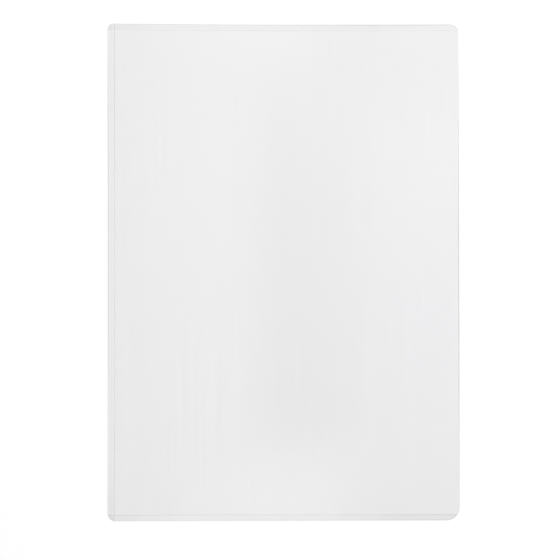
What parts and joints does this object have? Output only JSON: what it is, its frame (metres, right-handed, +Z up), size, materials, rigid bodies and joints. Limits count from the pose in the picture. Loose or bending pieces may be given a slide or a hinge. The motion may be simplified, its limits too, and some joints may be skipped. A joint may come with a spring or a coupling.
{
  "type": "sheet protector",
  "caption": "Clear A4 plastic pocket of thin films welded along a long side and both ends, open along the other long side to take a loose sheet.",
  "frame": {"origin": "middle of the flat back face, on the surface that the pocket lies on", "axes": "+X across the sheet from the welded long side to the mouth, +Y up the sheet, +Z up out of the front film"},
  "size_m": [0.218, 0.308, 0.0005],
  "materials": {
    "film": "clear, calendered smooth, slightly wavy",
    "weld": "clear, pressed and thinned, with fine pressed lines"
  },
  "bodies": {
    "pocket": {"back_film": "film", "side_weld": "weld", "top_weld": "weld", "bottom_weld": "weld"},
    "front": {"front_film": "film"}
  },
  "joints": [
    {"name": "mouth_open", "type": "hinge", "parent": "pocket", "child": "front", "pos_m": [-0.1044, 0, 0.0005], "axis": [0, -1, 0], "range_deg": [0, 4], "stiffness_Nm_per_rad": 0.4}
  ]
}
